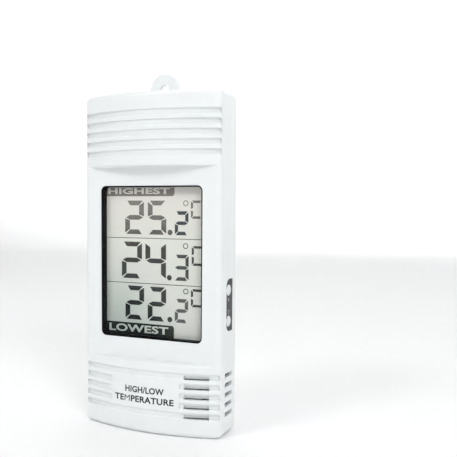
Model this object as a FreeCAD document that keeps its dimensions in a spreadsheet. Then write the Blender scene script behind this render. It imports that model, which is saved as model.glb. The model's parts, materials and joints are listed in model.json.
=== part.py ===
"""Digital maximum minimum thermometer with a plastic case, for a greenhouse wall or shelf.

Millimetres. The case stands on z = 0, its front faces -Y and its back face is the plane
y = depth / 2, so that the origin is at the middle of the base.
"""
import FreeCAD, Part
import Sketcher
import math
import os
import re
from FreeCAD import Rotation, Vector

doc = FreeCAD.newDocument("thermometer")
sizes = doc.addObject("Spreadsheet::Sheet", "sizes")

# Driving dimensions. Depths named *_depth are measured forward from the back face.
DIMENSIONS = {
    # case
    "case_width": 68.5,
    "case_height": 150,
    "depth": 22,
    "front_radius": 103.5,
    "split_depth": 4.1,
    "wall": 1.8,
    "corner_radius": 3,
    "edge_radius": 2.4,
    "back_edge_radius": 1,
    "overshoot": 5,
    # flat panel between the two bulged ends
    "panel_depth": 17,
    "panel_bottom": 31.9,
    "panel_top": 117.4,
    "panel_edge_round": 1.2,
    # finger grooves; their floors bend a little more than the bulge, so they deepen outwards
    "groove_height": 2.3,
    "groove_depth": 0.7,
    "groove_floor_radius": 92,
    "groove_lip": 0.35,
    "groove_half_width": 33.2,
    "upper_groove_z": 123.45,
    "upper_groove_pitch": 4.285,
    "lower_groove_z": 9.7,
    "lower_groove_pitch": 4.3,
    "label_left": -17.5,
    "label_right": 16.3,
    # vents
    "front_vent_left": 18.0,
    "front_vent_right": 28.9,
    "front_vent_drop": 0.3,
    "front_vent_height": 1.8,
    "front_vent_depth": 1.3,
    "front_slit_height": 0.3,
    "front_slit_fall": 0.4,
    "front_slit_reach": 4,
    "vent_backing": 1.7,
    "vent_backing_margin": 1.2,
    "side_vent_front_depth": 12,
    "side_vent_back_depth": 3.1,
    "side_vent_height": 1.9,
    # hanging tab
    "tab_radius": 7.2,
    "tab_z": 153.2,
    "tab_thickness": 2.5,
    "tab_edge": 0.35,
    "tab_foot_z": 148.5,
    "hang_hole_radius": 2.2,
    # display window
    "window_half_width": 25.35,
    "window_bottom": 41.15,
    "window_top": 109.35,
    "window_radius": 2.5,
    "bezel_rim": 0.5,
    "bezel_set_back": 0.1,
    "bezel_gap": 0.05,
    "bezel_flange": 2,
    "bezel_flange_thickness": 1,
    "lens_thickness": 1,
    "lens_set_back": 0.15,
    # liquid crystal display
    "display_depth": 13.2,
    "polariser_thickness": 0.2,
    "glass_thickness": 0.7,
    "glass_half_width": 27.4,
    "glass_bottom": 38.8,
    "glass_top": 111.6,
    "glass_ledge": 2.8,
    "contact_strip_half_length": 24,
    "contact_strip_width": 2,
    # main circuit board
    "board_depth": 8.6,
    "board_thickness": 1.6,
    "board_half_width": 26,
    "board_bottom": 32.6,
    "board_top": 117.4,
    "board_corner": 1,
    "board_screw_x": 20,
    "board_screw_inset": 3,
    "post_radius": 2.5,
    # case screws
    "boss_radius": 2.6,
    "boss_front_depth": 16.8,
    "case_screw_x": 29.3,
    "case_screw_low_z": 5.4,
    "case_screw_high_z": 145,
    "case_thread": 1.1,
    "case_screw_tip_depth": 12.5,
    "case_head_radius": 2.1,
    "case_head_height": 1.5,
    "case_head_seat_depth": 1.7,
    "screw_gap": 0.15,
    # circuit board screws
    "board_thread": 1,
    "board_screw_tip_depth": 13.2,
    "board_head_radius": 1.9,
    "board_head_height": 1.4,
    "cross_half_width": 0.22,
    # buttons
    "button_radius": 2.4,
    "button_gap": 0.08,
    "button_dome": 0.4,
    "button_depth": 8.3,
    "button_upper_z": 64.1,
    "button_lower_z": 50.5,
    "button_flange_radius": 3.1,
    "button_flange": 0.8,
    "button_panel_front_depth": 11,
    "button_panel_low_z": 46,
    "button_panel_high_z": 69,
    "button_panel_corner": 3.2,
    "button_panel_gap": 0.05,
    "button_panel_set_back": 0.1,
    "button_panel_lip": 1.1,
    "button_panel_inner_x": 31,
    "part_gap": 0.05,
    "switch_board_x": 26,
    "switch_board_thickness": 1,
    "switch_board_front_depth": 11.1,
    "switch_board_back_depth": 5.1,
    "switch_board_low_z": 45,
    "switch_board_high_z": 70,
    "switch_side": 4.5,
    "switch_body_length": 2.3,
    "switch_stem_radius": 1,
    "switch_stem_inset": 0.7,
    "switch_well_inset": 1.3,
    # battery
    "cell_radius": 5.25,
    "cell_length": 44.5,
    "cell_nub_radius": 1.9,
    "cell_nub_length": 0.8,
    "cell_depth": 7.65,
    "cell_z": 130,
    "bay_half_length": 25.8,
    "bay_bottom": 122.4,
    "bay_top": 141,
    "bay_front_depth": 13.2,
    "bay_wall": 1.2,
    "door_thickness": 1.6,
    "door_gap": 0.2,
    "door_pin_radius": 0.75,
    "door_pin_gap": 0.05,
    "door_pin_reach": 0.95,
    "hinge_z": 139.2,
    "tongue_half_width": 5,
    "tongue_length": 2.6,
    "tongue_thickness": 1,
    "tongue_gap": 0.45,
    "thumb_half_width": 6,
    "thumb_radius": 9,
    "thumb_hollow": 0.7,
    "thumb_rise": 4,
    "grip_depth": 0.5,
    "grip_rise": 7.2,
    "grip_height": 0.8,
    "grip_pitch": 1.6,
    "cradle_x": 12,
    "cradle_thickness": 1.2,
    "contact_thickness": 0.3,
    "contact_side": 9,
    "contact_height": 10,
    "contact_gap": 0.1,
    "spring_wire": 0.35,
    "spring_radius": 4.1,
    "spring_turns": 4,
    "wire_radius": 0.6,
    "wire_hole_gap": 0.15,
    "wire_x": 24.3,
    "wire_depth": 10,
    "wire_bend": 1.4,
    "wire_landing": 5,
    # temperature sensor
    "sensor_x": 25,
    "sensor_depth": 13.5,
    "sensor_z": 17,
    "lead_radius": 0.25,
    "lead_half_spacing": 0.4,
    "lead_bend": 1.5,
    "lead_rise": 1.6,
}
# The thermistor's outline: distance from its axis and height, from the bottom.
BEAD = ((0, -1.3), (0.8, -1.05), (1.2, -0.4), (1.2, 0.4), (0.8, 1.1), (0, 1.5))
# The resin drop over the chip: distance from its axis and height off the board.
CHIP = ((0, 0), (5, 0), (4.6, 0.6), (3.4, 1.1), (1.8, 1.35), (0, 1.4))
CHIP_X, CHIP_Z = -4, 76
# Soldered parts on the board's back: middle x and z, width, height in z, and thickness.
SURFACE_PARTS = (
    (6, 82, 2, 1.25, 0.6), (6, 79, 2, 1.25, 0.6), (6, 76, 2, 1.25, 0.8), (-14, 70, 1.25, 2, 0.6),
    (-14, 74, 1.25, 2, 0.6), (-14, 82, 3.2, 1.6, 1.4), (12, 64, 2, 1.25, 0.5), (15, 64, 2, 1.25, 0.5),
    (18, 56, 1.25, 2, 0.6), (18, 50, 1.25, 2, 0.6), (-3, 94, 3.2, 2.5, 1.6), (4, 94, 2, 1.25, 0.7),
)
CRYSTAL_X, CRYSTAL_Z, CRYSTAL_LENGTH, CRYSTAL_RADIUS = -12, 86, 6.2, 1
for row, (alias, value) in enumerate(DIMENSIONS.items(), start=1):
    sizes.set(f"A{row}", alias)
    sizes.set(f"B{row}", str(value))
    sizes.setAlias(f"B{row}", alias)
doc.recompute()

WORDS = re.compile(r"[a-z][a-z_]*[a-z]")
# An object whose only task is to hold the value of an expression while it is read.
gauge = doc.addObject("App::FeaturePython", "gauge")
gauge.addProperty("App::PropertyFloat", "Reading")


def formula(text):
    """An expression whose plain words are cells of the sheet."""
    return WORDS.sub(lambda word: "sizes." + word[0] if word[0] in DIMENSIONS else word[0], str(text))


def bind(thing, prop, text):
    thing.setExpression(prop, formula(text))


def size(text):
    """The present value of an expression."""
    bind(gauge, "Reading", text)
    gauge.recompute()
    return gauge.Reading


def place(thing, x, y, z):
    for axis, text in zip("xyz", (x, y, z)):
        bind(thing, f"Placement.Base.{axis}", text)


def behind(depth_text):
    """The y of something at a depth measured forward from the back face."""
    return f"depth / 2 - ({depth_text})"


# ---- primitives and booleans -------------------------------------------------------------

TURNS = {"x": Rotation(Vector(0, 1, 0), 90), "y": Rotation(Vector(1, 0, 0), -90), "z": Rotation()}


def box(name, x, y, z):
    """A box between pairs of expressions."""
    made = doc.addObject("Part::Box", name)
    for prop, (low, high) in zip(("Length", "Width", "Height"), (x, y, z)):
        bind(made, prop, f"({high}) - ({low})")
    place(made, x[0], y[0], z[0])
    return made


def rod(name, radius, start, along, length):
    """A cylinder from a point, running in the positive direction of an axis."""
    made = doc.addObject("Part::Cylinder", name)
    bind(made, "Radius", radius)
    bind(made, "Height", length)
    made.Placement.Rotation = TURNS[along]
    place(made, *start)
    return made


def fuse(name, *pieces):
    made = doc.addObject("Part::MultiFuse", name)
    made.Shapes = list(pieces)
    made.Refine = True
    return made


def cut(name, base, *tools):
    made = doc.addObject("Part::Cut", name)
    made.Base = base
    made.Tool = tools[0] if len(tools) == 1 else fuse(name + "_tools", *tools)
    made.Refine = True
    return made


# ---- sketched bodies ---------------------------------------------------------------------

def sketch_on(body, name, plane, offset="0"):
    """A sketch on one of a body's origin planes, moved along the plane's normal."""
    sketch = body.newObject("Sketcher::SketchObject", name)
    origin = [part for part in body.Origin.OriginFeatures if part.Role == plane][0]
    sketch.AttachmentSupport = (origin, [""])
    sketch.MapMode = "FlatFace"
    bind(sketch, "AttachmentOffset.Base.z", offset)
    return sketch


def dimension(sketch, kind, *args, to):
    value = size(to)
    index = sketch.addConstraint(Sketcher.Constraint(kind, *args, value))
    sketch.setExpression(f"Constraints[{index}]", formula(to))


def pin(sketch, side, end, point):
    """Fix a point's two coordinates."""
    for kind, text in zip(("DistanceX", "DistanceY"), point):
        dimension(sketch, kind, -1, 1, side, end, to=text)


def draw_polygon(sketch, points):
    """A closed outline of straight sides through points given as pairs of expressions."""
    here = [Vector(size(x), size(y), 0) for x, y in points]
    ends = here[1:] + here[:1]
    sides = [sketch.addGeometry(Part.LineSegment(a, b), False) for a, b in zip(here, ends)]
    for side, following, point in zip(sides, sides[1:] + sides[:1], points):
        sketch.addConstraint(Sketcher.Constraint("Coincident", side, 2, following, 1))
        pin(sketch, side, 1, point)


def draw_bulge(sketch, half_width, back_y, crest_y, radius):
    """Two straight sides and a back, closed at the front by an arc with its crest on x = 0."""
    half, back, crest, bend = size(half_width), size(back_y), size(crest_y), size(radius)
    centre = Vector(0, crest + bend, 0)
    side_y = centre.y - math.sqrt(bend ** 2 - half ** 2)
    lean = math.asin(half / bend)
    corners = [Vector(x, y, 0) for x, y in ((-half, side_y), (-half, back), (half, back), (half, side_y))]
    sides = [sketch.addGeometry(Part.LineSegment(a, b), False) for a, b in zip(corners, corners[1:])]
    circle = Part.Circle(centre, Vector(0, 0, 1), bend)
    down = -math.pi / 2
    front = sketch.addGeometry(Part.ArcOfCircle(circle, down - lean, down + lean), False)
    left, rear, right = sides
    rule = Sketcher.Constraint
    sketch.addConstraint([rule("Coincident", left, 2, rear, 1), rule("Coincident", rear, 2, right, 1),
                          rule("Coincident", right, 2, front, 2), rule("Coincident", front, 1, left, 1),
                          rule("Vertical", left), rule("Vertical", right)])
    pin(sketch, left, 2, (f"-({half_width})", back_y))
    pin(sketch, right, 1, (half_width, back_y))
    pin(sketch, front, 3, ("0", f"({crest_y}) + ({radius})"))
    dimension(sketch, "Radius", front, to=radius)


def pad(body, name, sketch, length, backwards=False):
    made = body.newObject("PartDesign::Pad", name)
    made.Profile = sketch
    bind(made, "Length", length)
    made.Reversed = backwards
    doc.recompute()
    return made


def round_edges(body, name, radius, wanted):
    """Fillet the edges of the body's tip for which wanted(edge) is true."""
    tip = body.Tip
    doc.recompute()
    chosen = [f"Edge{i}" for i, edge in enumerate(tip.Shape.Edges, start=1) if wanted(edge)]
    made = body.newObject("PartDesign::Fillet", name)
    made.Base = (tip, chosen)
    bind(made, "Radius", radius)
    doc.recompute()
    return made


def new_body(name):
    return doc.addObject("PartDesign::Body", name)


def runs_along(axis):
    """A test for straight edges parallel to an axis."""
    def test(edge):
        start, end = edge.Vertexes[0].Point, edge.Vertexes[-1].Point
        spans = [abs(end.x - start.x), abs(end.y - start.y), abs(end.z - start.z)]
        return isinstance(edge.Curve, Part.Line) and spans.index(max(spans)) == "xyz".index(axis)
    return test


def plate(name, outline, front_y, thickness, corner="0"):
    """A flat plate in the XZ plane from front_y backwards, with rounded corners."""
    body = new_body(name)
    # The XZ plane's normal is -Y.
    sketch = sketch_on(body, name + "_outline", "XZ_Plane", f"-({front_y})")
    (left, right), (low, high) = outline
    draw_polygon(sketch, [(left, low), (right, low), (right, high), (left, high)])
    pad(body, name + "_pad", sketch, thickness, backwards=True)
    if corner != "0":
        round_edges(body, name + "_corners", corner, runs_along("y"))
    return body


def turned(name, profile, position, along):
    """A solid of revolution; the profile's points are (radius, height) along the axis."""
    body = revolved(name, profile, "360")
    body.Placement.Rotation = TURNS[along]
    place(body, *position)
    return body


def revolved(name, profile, angle):
    """A profile of (radius, height) turned about the body's Z axis, half of the angle each way from +X."""
    body = new_body(name)
    sketch = sketch_on(body, name + "_profile", "XZ_Plane")
    draw_polygon(sketch, profile)
    made = body.newObject("PartDesign::Revolution", name + "_turn")
    made.Profile = sketch
    made.ReferenceAxis = (sketch, ["V_Axis"])
    made.Midplane = True
    bind(made, "Angle", angle)
    doc.recompute()
    return body


def bulged_block(name, inset):
    """The case's outer form, or its hollow when inset by the wall."""
    body = new_body(name)
    sketch = sketch_on(body, name + "_section", "XY_Plane", inset)
    half, back_y = f"case_width / 2 - {inset}", f"{behind('split_depth')} + {inset}"
    draw_bulge(sketch, half, back_y, f"-depth / 2 + {inset}", f"front_radius - {inset}")
    pad(body, name + "_height", sketch, f"case_height - 2 * {inset}")
    round_edges(body, name + "_corners", f"corner_radius - {inset}", runs_along("y"))
    front = [face for face in body.Tip.Shape.Faces if isinstance(face.Surface, Part.Cylinder)]
    crest = max(front, key=lambda face: face.Area)
    outline = [edge.hashCode() for edge in crest.Edges]
    round_edges(body, name + "_front_edge", f"edge_radius - {inset}", lambda e: e.hashCode() in outline)
    return body


# ---- case --------------------------------------------------------------------------------

SPLIT = behind("split_depth")
PANEL = behind("panel_depth")
FRONT_AIR = "-(depth / 2 + overshoot)"
PANEL_INSIDE = f"{PANEL} + wall"
CASE_TIP = behind("case_screw_tip_depth")
CASE_SEAT = behind("case_head_seat_depth")
BOARD = behind("board_depth")
BOARD_TIP = behind("board_screw_tip_depth")
CASE_SCREWS = [(f"{side}case_screw_x", z) for side in ("-", "")
               for z in ("case_screw_low_z", "case_screw_high_z")]
BOARD_SCREWS = [(f"{side}board_screw_x", z) for side in ("-", "")
                for z in ("board_bottom + board_screw_inset", "board_top - board_screw_inset")]
GROOVES = range(5)


def panel_recess():
    """The space in front of the flat panel; the bulges' edges that face it are rounded."""
    slack, margin, flat = 0.05, 1, 1e-3
    ends = []
    for name, low, high, level in (
            ("upper", "panel_top", "panel_top + overshoot", size("panel_top")),
            ("lower", "panel_bottom - overshoot", "panel_bottom", size("panel_bottom"))):
        body = new_body(f"panel_{name}_end")
        sketch = sketch_on(body, f"panel_{name}_section", "XY_Plane", low)
        draw_bulge(sketch, "case_width / 2 + corner_radius", SPLIT, f"-depth / 2 - {slack}",
                   f"front_radius + {slack}")
        pad(body, f"panel_{name}_height", sketch, f"({high}) - ({low})")

        def rim(edge, level=level):
            bounds = edge.BoundBox
            return (isinstance(edge.Curve, Part.Circle) and bounds.ZLength < flat
                    and abs(bounds.ZMin - level) < flat)

        round_edges(body, f"panel_{name}_round", "panel_edge_round", rim)
        ends.append(body)
    air = box("panel_air", ("-case_width / 2 - overshoot", "case_width / 2 + overshoot"), (FRONT_AIR, PANEL),
              (f"panel_bottom - panel_edge_round - {margin}", f"panel_top + panel_edge_round + {margin}"))
    return cut("panel_recess", air, *ends)


def front_arc(name, radius, crest_depth, profile, first_x, last_x):
    """A profile swept along an arc that bends back from its crest on x = 0, between two x positions.

    The profile's points are (distance out from the arc, height above z = 0)."""
    ends = f"asin(({last_x}) / ({radius})) - asin(({first_x}) / ({radius}))"
    points = [(f"({radius}) + ({out})", z) for out, z in profile]
    body = revolved(name, points, ends)
    first, last = (math.degrees(math.asin(size(x) / size(radius))) for x in (first_x, last_x))
    body.Placement.Rotation = Rotation(Vector(0, 0, 1), (first + last) / 2 - 90)
    place(body, "0", f"({radius}) - depth / 2 + ({crest_depth})", "0")
    return body


def groove(name, z, first_x, last_x):
    """A flat-floored groove in a bulge, with eased lips."""
    half, lip = "groove_height / 2", "groove_lip"
    trench = front_arc(name, "groove_floor_radius", "groove_depth",
                       [("0", f"{z} - {half}"), ("overshoot", f"{z} - {half}"),
                        ("overshoot", f"{z} + {half}"), ("0", f"{z} + {half}")], first_x, last_x)
    wide = f"{half} + 2 * {lip}"
    easing = front_arc(name + "_lip", "front_radius", "0",
                       [(f"-{lip}", f"{z} - {half}"), (lip, f"{z} - ({wide})"),
                        (lip, f"{z} + {wide}"), (f"-{lip}", f"{z} + {half}")], first_x, last_x)
    return [trench, easing]


def grooves():
    made = []
    edge = "groove_half_width"
    for i in GROOVES:
        upper = f"upper_groove_z + {i} * upper_groove_pitch"
        lower = f"lower_groove_z + {i} * lower_groove_pitch"
        made += groove(f"upper_groove_{i}", upper, f"-{edge}", edge)
        if i in (GROOVES[0], GROOVES[-1]):
            made += groove(f"lower_groove_{i}", lower, f"-{edge}", edge)
        else:
            made += groove(f"lower_groove_{i}_left", lower, f"-{edge}", "label_left")
            made += groove(f"lower_groove_{i}_right", lower, "label_right", edge)
    return made


def vents():
    """Sunk louvres with a slit low behind their lips, in the lower grooves, and slots in the right wall."""
    made = []
    for i in GROOVES:
        level = f"lower_groove_z + {i} * lower_groove_pitch"
        foot = f"{level} - groove_height / 2 - front_vent_drop"
        head = f"{foot} + front_vent_height"
        depth = "-front_vent_depth"
        made.append(front_arc(f"front_vent_{i}", "groove_floor_radius", "groove_depth",
                              [(depth, foot), ("overshoot", foot), ("overshoot", head), (depth, head)],
                              "front_vent_left", "front_vent_right"))
        reach, low, high = "-front_slit_reach", f"{foot} - front_slit_fall", f"{foot} + front_slit_height"
        made.append(front_arc(f"front_slit_{i}", "groove_floor_radius", "groove_depth",
                              [(reach, low), ("0", low), ("0", high), (reach, high)],
                              "front_vent_left", "front_vent_right"))
        half = "side_vent_height / 2"
        made.append(box(f"side_vent_{i}", ("case_width / 2 - 2 * wall", "case_width / 2 + overshoot"),
                        (behind("side_vent_front_depth"), behind("side_vent_back_depth")),
                        (f"{level} - {half}", f"{level} + {half}")))
    return made


def vent_backing():
    """The thicker wall behind the louvres."""
    margin = "vent_backing_margin"
    low = f"lower_groove_z - groove_height / 2 - {margin}"
    high = f"lower_groove_z + {GROOVES[-1]} * lower_groove_pitch + groove_height / 2 + {margin}"
    out = "vent_backing + wall / 2"
    return front_arc("vent_backing", "front_radius - wall - vent_backing", "wall + vent_backing",
                     [("0", low), (out, low), (out, high), ("0", high)],
                     f"front_vent_left - {margin}", f"front_vent_right + {margin}")


def button_opening(name, gap, near_x, far_x, back_y):
    """The outline of the button panel, rounded at the front, straight at the split."""
    body = new_body(name)
    sketch = sketch_on(body, name + "_outline", "YZ_Plane", near_x)
    front = f"{behind('button_panel_front_depth')} + {gap}"
    low, high = f"button_panel_low_z + {gap}", f"button_panel_high_z - {gap}"
    draw_polygon(sketch, [(front, low), (back_y, low), (back_y, high), (front, high)])
    pad(body, name + "_pad", sketch, f"({far_x}) - ({near_x})")
    front_y = size(front) + 0.01
    along_x = runs_along("x")
    round_edges(body, name + "_corners", "button_panel_corner",
                lambda edge: along_x(edge) and edge.Vertexes[0].Y < front_y)
    return body


def make_front_cover():
    shell = cut("front_form", bulged_block("front_block", "0"), panel_recess())
    hollow = cut("front_hollow", bulged_block("front_inside", "wall"),
                 box("panel_wall", ("-case_width / 2", "case_width / 2"), (FRONT_AIR, PANEL_INSIDE),
                     ("panel_bottom - wall", "panel_top + wall")), vent_backing())
    window = plate("window_opening", (("-window_half_width", "window_half_width"),
                                      ("window_bottom", "window_top")),
                   FRONT_AIR, "depth", "window_radius")
    notch = button_opening("button_notch", "0", "case_width / 2 - 2 * wall", "case_width / 2 + overshoot",
                           f"{SPLIT} + overshoot")
    walls = cut("front_walls", shell, hollow, window, notch, *grooves(), *vents())
    posts, holes = [], []
    boss_y = behind("boss_front_depth")
    for i, (x, z) in enumerate(CASE_SCREWS):
        posts.append(rod(f"front_boss_{i}", "boss_radius", (x, boss_y, z), "y", f"{SPLIT} - ({boss_y})"))
        holes.append(rod(f"front_boss_hole_{i}", "case_thread", (x, CASE_TIP, z), "y", "depth"))
    post_y = f"{PANEL_INSIDE} - wall / 3"
    for i, (x, z) in enumerate(BOARD_SCREWS):
        posts.append(rod(f"board_post_{i}", "post_radius", (x, post_y, z), "y", f"{BOARD} - ({post_y})"))
        holes.append(rod(f"board_post_hole_{i}", "board_thread", (x, BOARD_TIP, z), "y", "depth"))
    cut("front_cover", fuse("front_with_posts", walls, *posts), *holes)


WIRES = {"positive": "wire_x", "negative": "-wire_x"}
WIRE_Y = behind("wire_depth")
HINGE_Y = "depth / 2 - door_thickness"


def bay_box(name, grow, front_y, back_y):
    return box(name, (f"-bay_half_length - {grow}", f"bay_half_length + {grow}"), (front_y, back_y),
               (f"bay_bottom - {grow}", f"bay_top + {grow}"))


def hanging_tab():
    """A round eye on a foot that runs down into the case's top, with its front and back edges eased."""
    reach = "tab_radius - tab_edge"
    eye = turned("tab_eye", [("0", "0"), (reach, "0"), ("tab_radius", "tab_edge"),
                             ("tab_radius", "tab_thickness - tab_edge"), (reach, "tab_thickness"),
                             ("0", "tab_thickness")], ("0", SPLIT, "tab_z"), "y")
    foot = box("tab_foot", ("-tab_radius", "tab_radius"), (SPLIT, f"{SPLIT} + tab_thickness"),
               ("tab_foot_z", "tab_z"))
    return [eye, foot]


def cradle_ribs():
    """Two ribs in the battery bay, hollowed to the cell."""
    half = "cradle_thickness / 2"
    plates = [box(f"cradle_{name}", (f"{x} - {half}", f"{x} + {half}"),
                  (behind("bay_front_depth"), behind("cell_depth")),
                  ("bay_bottom - bay_wall / 2", "bay_top + bay_wall / 2"))
              for name, x in (("left", "-cradle_x"), ("right", "cradle_x"))]
    end = ("-bay_half_length", behind("cell_depth"), "cell_z")
    seat = rod("cell_seat", "cell_radius + part_gap", end, "x", "2 * bay_half_length")
    return cut("cradle_ribs", fuse("cradle_plates", *plates), seat)


def make_rear_cover():
    body = new_body("rear_tray")
    # The XZ plane's normal is -Y, so the pad runs forward from the back face.
    outline = sketch_on(body, "rear_outline", "XZ_Plane", "-depth / 2")
    left, right, back = "-case_width / 2", "case_width / 2", "depth / 2"
    draw_polygon(outline, [(left, "0"), (right, "0"), (right, "case_height"), (left, "case_height")])
    pad(body, "rear_pad", outline, "split_depth")
    round_edges(body, "rear_corners", "corner_radius", runs_along("y"))
    back_y, flat = size(back), 1e-3
    round_edges(body, "rear_edge", "back_edge_radius",
                lambda edge: abs(edge.BoundBox.YMin - back_y) < flat and edge.BoundBox.YLength < flat)
    inside = plate("rear_inside", (("-case_width / 2 + wall", "case_width / 2 - wall"),
                                   ("wall", "case_height - wall")),
                   f"{SPLIT} - overshoot", "overshoot + split_depth - wall", "corner_radius - wall")
    bay = bay_box("bay_outside", "bay_wall", f"{behind('bay_front_depth')} - bay_wall", back)
    room = bay_box("bay_inside", "0", behind("bay_front_depth"), f"{back} + overshoot")
    bosses, holes = [], []
    sink = "case_head_radius + screw_gap"
    for i, (x, z) in enumerate(CASE_SCREWS):
        bosses.append(rod(f"rear_boss_{i}", "boss_radius", (x, SPLIT, z), "y", "split_depth - wall / 2"))
        holes.append(rod(f"rear_hole_{i}", "case_thread + screw_gap", (x, "0", z), "y", "depth"))
        holes.append(rod(f"rear_counterbore_{i}", sink, (x, CASE_SEAT, z), "y", "depth"))
    hang = rod("hang_hole", "hang_hole_radius", ("0", "0", "tab_z"), "y", "depth")
    pin_end = "bay_half_length + bay_wall + contact_gap"
    pins = rod("hinge_holes", "door_pin_radius + door_pin_gap", (f"-({pin_end})", HINGE_Y, "hinge_z"), "x",
               f"2 * ({pin_end})")
    wires = [rod(f"wire_hole_{name}", "wire_radius + wire_hole_gap",
                 (x, WIRE_Y, "bay_bottom - 1.2 * bay_wall"), "z", "1.4 * bay_wall")
             for name, x in WIRES.items()]
    tray = cut("rear_form", body, inside)
    shell = cut("rear_room", fuse("rear_solid", tray, *hanging_tab(), bay, *bosses), room)
    cut("rear_cover", fuse("rear_with_ribs", shell, cradle_ribs()), hang, pins, *wires, *holes)


def make_battery_door():
    """A lid with a round hinge edge, two stub pins and a latch tongue that rubs in the bay."""
    back = "depth / 2"
    half = "bay_half_length - door_gap"
    lid = box("door_lid", (f"-({half})", half), (HINGE_Y, back), ("bay_bottom + door_gap", "hinge_z"))
    knuckle = rod("door_knuckle", "door_thickness", (f"-({half})", HINGE_Y, "hinge_z"), "x", f"2 * ({half})")
    pin_end = "bay_half_length + door_pin_reach"
    stubs = rod("door_stubs", "door_pin_radius", (f"-({pin_end})", HINGE_Y, "hinge_z"), "x",
                f"2 * ({pin_end})")
    tongue_foot = "bay_bottom + tongue_gap"
    tongue = box("door_tongue", ("-tongue_half_width", "tongue_half_width"),
                 (f"{HINGE_Y} - tongue_length", HINGE_Y), (tongue_foot, f"{tongue_foot} + tongue_thickness"))
    thumb_y = f"{back} + thumb_radius - thumb_hollow"
    thumb = rod("door_thumb_hollow", "thumb_radius",
                ("-thumb_half_width", thumb_y, "bay_bottom + thumb_rise"), "x", "2 * thumb_half_width")
    grips = []
    for i in range(4):
        foot = f"bay_bottom + grip_rise + {i} * grip_pitch"
        grips.append(box(f"door_grip_{i}", ("-thumb_half_width", "thumb_half_width"),
                         (f"{back} - grip_depth", f"{back} + overshoot"), (foot, f"{foot} + grip_height")))
    cut("battery_door", fuse("door_solid", lid, knuckle, stubs, tongue), thumb, *grips)


# ---- window and display ------------------------------------------------------------------

def make_window():
    gap, rim = "bezel_gap", "bezel_rim"
    outer = f"window_half_width - {gap}"
    low, high = f"window_bottom + {gap}", f"window_top - {gap}"
    front = f"{PANEL} + bezel_set_back"
    display = behind("display_depth")
    ring = plate("bezel_ring", ((f"-({outer})", outer), (low, high)), front, f"{display} - ({front})",
                 f"window_radius - {gap}")
    flange = plate("bezel_flange_plate",
                   ((f"-({outer} + bezel_flange)", f"{outer} + bezel_flange"),
                    (f"{low} - bezel_flange", f"{high} + bezel_flange")),
                   PANEL_INSIDE, "bezel_flange_thickness", "window_radius")
    opening = ((f"-({outer} - {rim})", f"{outer} - {rim}"), (f"{low} + {rim}", f"{high} - {rim}"))
    corner = f"window_radius - {gap} - {rim}"
    hole = plate("bezel_opening", opening, FRONT_AIR, "depth", corner)
    cut("display_bezel", fuse("bezel_solid", ring, flange), hole)
    plate("window_lens", opening, f"{PANEL} + lens_set_back", "lens_thickness", corner)


def make_display():
    """The glass sandwich, from the front: polariser, front glass, rear glass, reflector."""
    start = behind("display_depth")
    half = "glass_half_width"
    whole = ("glass_bottom", "glass_top")
    inner = ("glass_bottom + glass_ledge", "glass_top - glass_ledge")
    slices = (("display_polariser", "polariser_thickness", inner, "0.3"),
              ("display_front_glass", "glass_thickness", whole, "0"),
              ("display_rear_glass", "glass_thickness", inner, "0"),
              ("display_reflector", "polariser_thickness", inner, "0.3"))
    for name, thickness, heights, margin in slices:
        plate(name, ((f"-({half} - {margin})", f"{half} - {margin}"), heights), start, thickness)
        start = f"{start} + {thickness}"
    ledge_y = f"{behind('display_depth')} + polariser_thickness + glass_thickness"
    middle = "(glass_ledge - contact_strip_width) / 2"
    reach = "contact_strip_half_length"
    for name, low in (("lower", f"glass_bottom + {middle}"),
                      ("upper", f"glass_top - {middle} - contact_strip_width")):
        box(f"contact_strip_{name}", (f"-{reach}", reach), (ledge_y, BOARD),
            (low, f"{low} + contact_strip_width"))


# ---- electronics -------------------------------------------------------------------------

BOARD_BACK = f"{BOARD} + board_thickness"


def make_boards():
    edge = "board_half_width"
    body = plate("board_blank", ((f"-{edge}", edge), ("board_bottom", "board_top")), BOARD, "board_thickness",
                 "board_corner")
    holes = [rod(f"board_hole_{i}", "board_thread + screw_gap", (x, "0", z), "y", "depth")
             for i, (x, z) in enumerate(BOARD_SCREWS)]
    cut("main_circuit_board", body, *holes)
    turned("chip_cover", CHIP, (CHIP_X, BOARD_BACK, CHIP_Z), "y")
    parts = []
    for i, (x, z, across, up, high) in enumerate(SURFACE_PARTS):
        parts.append(box(f"surface_part_{i}", (f"{x} - {across} / 2", f"{x} + {across} / 2"),
                         (BOARD_BACK, f"{BOARD_BACK} + {high}"), (f"{z} - {up} / 2", f"{z} + {up} / 2")))
    fuse("surface_mount_parts", *parts)
    rod("crystal_can", CRYSTAL_RADIUS, (CRYSTAL_X, f"{BOARD_BACK} + {CRYSTAL_RADIUS}", CRYSTAL_Z), "x",
        CRYSTAL_LENGTH)
    box("switch_board", ("switch_board_x", "switch_board_x + switch_board_thickness"),
        (behind("switch_board_front_depth"), behind("switch_board_back_depth")),
        ("switch_board_low_z", "switch_board_high_z"))


def make_button_panel(face):
    """A black plate in the right wall, held from inside by a wider lip, with two holes."""
    lip_x, back_y = "case_width / 2 - wall - part_gap", f"{SPLIT} - part_gap"
    front = button_opening("button_panel_front", "button_panel_gap", lip_x, face, back_y)
    lip = button_opening("button_panel_lip_plate", "-button_panel_lip", "button_panel_inner_x", lip_x, back_y)
    holes = [rod(f"button_hole_{name}", "button_radius + button_gap", ("0", behind("button_depth"), z), "x",
                 "case_width") for name, z in BUTTONS.items()]
    cut("button_panel", fuse("button_panel_solid", front, lip), *holes)


BUTTONS = {"upper": "button_upper_z", "lower": "button_lower_z"}


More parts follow.
